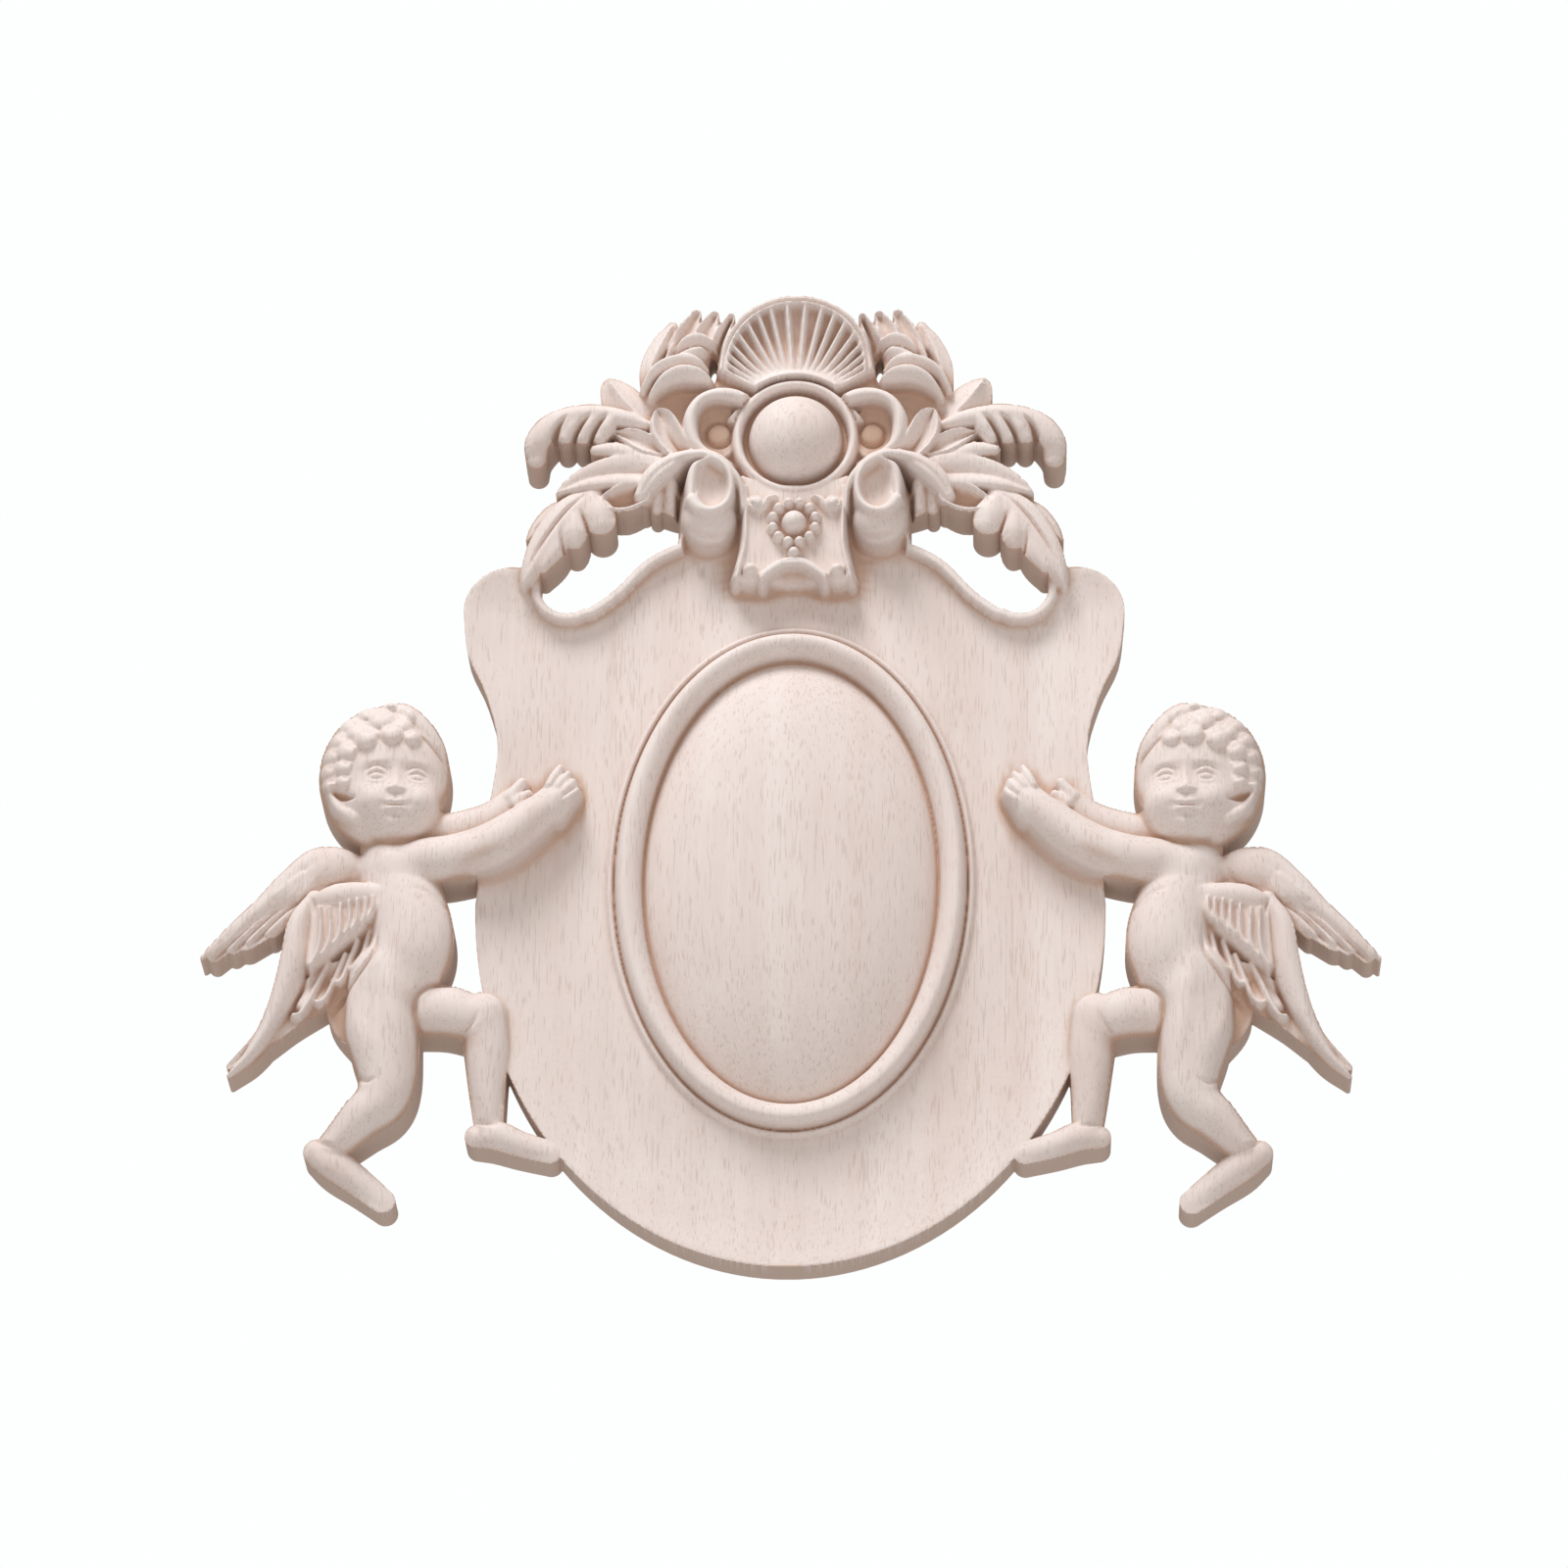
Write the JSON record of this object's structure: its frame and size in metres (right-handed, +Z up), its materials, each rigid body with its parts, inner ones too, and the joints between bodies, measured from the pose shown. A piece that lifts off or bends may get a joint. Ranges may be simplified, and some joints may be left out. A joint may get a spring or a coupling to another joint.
{
  "type": "wood applique",
  "caption": "Carved wood applique: a shield with a plain oval boss under a crest of shell, scrolls and leaves, held by a winged child on either side; flat back, upright edges.",
  "frame": {"origin": "on the flat back face, behind the centre of the oval boss", "axes": "+X to the right along the longest extent, +Y out of the flat back, towards what it is fixed to, +Z up; the carved front faces -Y"},
  "size_m": [0.396, 0.0312, 0.3505],
  "materials": {
    "wood": "bare, lightly sanded"
  },
  "bodies": {
    "root": {"carved_applique": "wood"}
  },
  "joints": []
}
